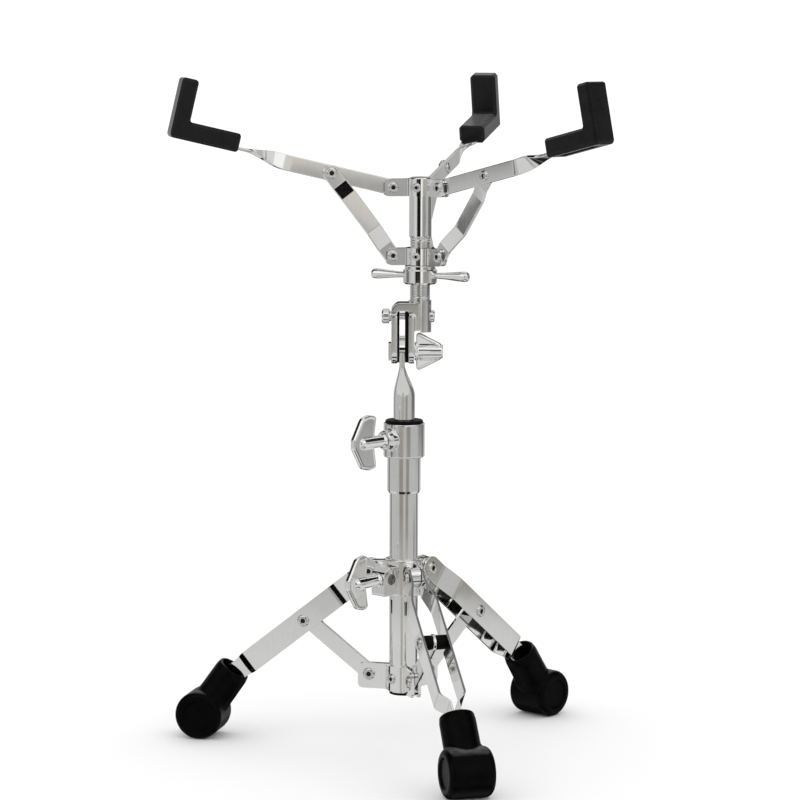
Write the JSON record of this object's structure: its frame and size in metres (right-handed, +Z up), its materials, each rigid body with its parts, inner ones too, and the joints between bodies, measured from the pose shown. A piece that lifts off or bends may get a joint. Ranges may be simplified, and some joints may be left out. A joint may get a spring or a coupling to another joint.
{
  "type": "snare drum stand",
  "caption": "Folding tripod snare drum stand: telescoping chromed column, tilting yoke and a basket of rubber-gripped arms that a hand nut opens and closes.",
  "frame": {"origin": "the point on the floor under the column's axis", "axes": "+Z up along the column, +X to the right and +Y away seen from the front, along the tilt bolt"},
  "size_m": [0.3797, 0.4206, 0.5992],
  "materials": {
    "chrome": "bright chrome plate on steel tube and strip, and on zinc castings",
    "rivet": "chromed button-head rivets, a little duller than the strip",
    "thread": "plated steel rod, fine thread",
    "rubber": "moulded black rubber, satin",
    "nylon": "black nylon, moulded"
  },
  "bodies": {
    "base": {"base_tube": "chrome", "base_tube_plug": "nylon", "clamp_sleeve": "chrome", "height_clamp": "chrome", "lower_hub_shells": "chrome", "lower_hub_rivets": "rivet", "strut_hub_rivets": "rivet"},
    "bush": {"clamp_bush": "nylon"},
    "upper": {"upper_tube": "chrome"},
    "tilter": {"tilter_yoke": "chrome", "tilter_pads": "nylon", "tilter_bolt": "chrome", "basket_post": "thread", "cross_bolt": "chrome", "cross_bolt_nut": "chrome", "basket_tube": "chrome", "basket_tube_cap": "chrome", "top_hub_shells": "chrome", "top_hub_rivets": "rivet", "arm_pivot_rivets": "rivet"},
    "tilter_nut": {"tilter_wing_nut": "chrome"},
    "clamp_screw": {"clamp_wing_screw": "chrome"},
    "collar": {"leg_collar": "chrome", "collar_barrel_nut": "chrome"},
    "collar_screw": {"collar_wing_screw": "chrome"},
    "slider": {"slider_sleeve": "chrome", "slider_shells": "chrome", "slider_body_rivets": "rivet", "strut_pivot_rivets": "rivet"},
    "nut": {"basket_nut": "chrome"},
    "arm_back": {"arm_back": "chrome", "grip_back": "rubber", "arm_back_rivet": "rivet"},
    "basket_strut_back": {"basket_strut_back": "chrome"},
    "arm_left": {"arm_left": "chrome", "grip_left": "rubber", "arm_left_rivet": "rivet"},
    "basket_strut_left": {"basket_strut_left": "chrome"},
    "arm_right": {"arm_right": "chrome", "grip_right": "rubber", "arm_right_rivet": "rivet"},
    "basket_strut_right": {"basket_strut_right": "chrome"},
    "leg_strut_right": {"leg_right_strut": "chrome"},
    "leg_right": {"leg_right_plate_a": "chrome", "leg_right_plate_b": "chrome", "leg_right_spacers": "nylon", "leg_right_rivets": "rivet", "foot_right": "rubber"},
    "leg_strut_left": {"leg_left_strut": "chrome"},
    "leg_left": {"leg_left_plate_a": "chrome", "leg_left_plate_b": "chrome", "leg_left_spacers": "nylon", "leg_left_rivets": "rivet", "foot_left": "rubber"},
    "leg_strut_front": {"leg_front_strut": "chrome"},
    "leg_front": {"leg_front_plate_a": "chrome", "leg_front_plate_b": "chrome", "leg_front_spacers": "nylon", "leg_front_rivets": "rivet", "foot_front": "rubber"}
  },
  "joints": [
    {"name": "upper_swivel", "type": "hinge", "parent": "base", "child": "bush", "pos_m": [0, 0, 0.29], "axis": [0, 0, 1], "continuous": true},
    {"name": "height_slide", "type": "slide", "parent": "bush", "child": "upper", "axis": [0, 0, 1], "range_m": [-0.02, 0.14]},
    {"name": "basket_tilt", "type": "hinge", "parent": "upper", "child": "tilter", "pos_m": [0, 0, 0.3577], "axis": [1, 0, 0], "range_deg": [-45, 45]},
    {"name": "tilter_nut_turn", "type": "hinge", "parent": "tilter", "child": "tilter_nut", "pos_m": [0.02, 0, 0.3577], "axis": [1, 0, 0], "continuous": true},
    {"name": "clamp_screw_turn", "type": "hinge", "parent": "base", "child": "clamp_screw", "pos_m": [0, 0, 0.2804], "axis": [-0.6858, -0.7278, 0], "continuous": true},
    {"name": "slider_slide", "type": "slide", "parent": "tilter", "child": "slider", "axis": [0, 0, 1], "range_m": [-0.0081, 0.0081]},
    {"name": "basket_nut_turn", "type": "hinge", "parent": "slider", "child": "nut", "pos_m": [0.0136, 0, 0.4258], "axis": [0, 0, 1], "range_deg": [-1152, 1152]},
    {"name": "arm_back_hinge", "type": "hinge", "parent": "tilter", "child": "arm_back", "pos_m": [0.02108, 0.02448, 0.503], "axis": [0.9563, -0.2924, 0], "range_deg": [-10.1, 10.1]},
    {"name": "basket_strut_back_hinge", "type": "hinge", "parent": "slider", "child": "basket_strut_back", "pos_m": [0.02108, 0.02448, 0.443], "axis": [0.9563, -0.2924, 0], "range_deg": [-1.9, 1.9]},
    {"name": "arm_left_hinge", "type": "hinge", "parent": "tilter", "child": "arm_left", "pos_m": [-0.01134, -0.00576, 0.503], "axis": [-0.225, 0.9744, 0], "range_deg": [-10.1, 10.1]},
    {"name": "basket_strut_left_hinge", "type": "hinge", "parent": "slider", "child": "basket_strut_left", "pos_m": [-0.01134, -0.00576, 0.443], "axis": [-0.225, 0.9744, 0], "range_deg": [-1.9, 1.9]},
    {"name": "arm_right_hinge", "type": "hinge", "parent": "tilter", "child": "arm_right", "pos_m": [0.03106, -0.01872, 0.503], "axis": [-0.7314, -0.682, 0], "range_deg": [-10.1, 10.1]},
    {"name": "basket_strut_right_hinge", "type": "hinge", "parent": "slider", "child": "basket_strut_right", "pos_m": [0.03106, -0.01872, 0.443], "axis": [-0.7314, -0.682, 0], "range_deg": [-1.9, 1.9]},
    {"name": "leg_fold", "type": "hinge", "parent": "base", "child": "leg_strut_left", "pos_m": [-0.02968, 0.00702, 0.066], "axis": [0.23, 0.9732, 0], "range_deg": [0, 40]},
    {"name": "leg_left_hinge", "type": "hinge", "parent": "leg_strut_left", "child": "leg_left", "pos_m": [-0.0871, 0.02059, 0.113], "axis": [-0.23, -0.9732, 0], "range_deg": [-0.1, 80.1]},
    {"name": "leg_strut_right_hinge", "type": "hinge", "parent": "base", "child": "leg_strut_right", "pos_m": [0.02092, 0.0222, 0.066], "axis": [0.7278, -0.6858, 0], "range_deg": [-0.1, 40.1]},
    {"name": "leg_right_hinge", "type": "hinge", "parent": "leg_strut_right", "child": "leg_right", "pos_m": [0.06138, 0.06514, 0.113], "axis": [-0.7278, 0.6858, 0], "range_deg": [-0.1, 80.1]},
    {"name": "leg_strut_front_hinge", "type": "hinge", "parent": "base", "child": "leg_strut_front", "pos_m": [0.00876, -0.02921, 0.066], "axis": [-0.9578, -0.2874, 0], "range_deg": [-0.1, 40.1]},
    {"name": "leg_front_hinge", "type": "hinge", "parent": "leg_strut_front", "child": "leg_front", "pos_m": [0.02572, -0.08573, 0.113], "axis": [0.9578, 0.2874, 0], "range_deg": [-0.1, 80.1]},
    {"name": "collar_hinge", "type": "hinge", "parent": "leg_left", "child": "collar", "pos_m": [-0.02968, 0.00702, 0.16], "axis": [0.23, 0.9732, 0], "range_deg": [-0.1, 40.1]},
    {"name": "collar_screw_turn", "type": "hinge", "parent": "collar", "child": "collar_screw", "pos_m": [0, 0, 0.1565], "axis": [-0.6858, -0.7278, 0], "continuous": true}
  ],
  "couplings": [
    {"joint": "slider_slide", "follows": "basket_nut_turn", "m_per_rad": 0.00039789},
    {"joint": "arm_back_hinge", "follows": "basket_nut_turn", "ratio": 0.0086575},
    {"joint": "basket_strut_back_hinge", "follows": "basket_nut_turn", "ratio": 0.0015512},
    {"joint": "arm_left_hinge", "follows": "basket_nut_turn", "ratio": 0.0086575},
    {"joint": "basket_strut_left_hinge", "follows": "basket_nut_turn", "ratio": 0.0015512},
    {"joint": "arm_right_hinge", "follows": "basket_nut_turn", "ratio": 0.0086575},
    {"joint": "basket_strut_right_hinge", "follows": "basket_nut_turn", "ratio": 0.0015512},
    {"joint": "leg_left_hinge", "follows": "leg_fold", "ratio": 2},
    {"joint": "leg_strut_right_hinge", "follows": "leg_fold", "ratio": 1},
    {"joint": "leg_right_hinge", "follows": "leg_fold", "ratio": 2},
    {"joint": "leg_strut_front_hinge", "follows": "leg_fold", "ratio": 1},
    {"joint": "leg_front_hinge", "follows": "leg_fold", "ratio": 2},
    {"joint": "collar_hinge", "follows": "leg_fold", "ratio": 1}
  ]
}
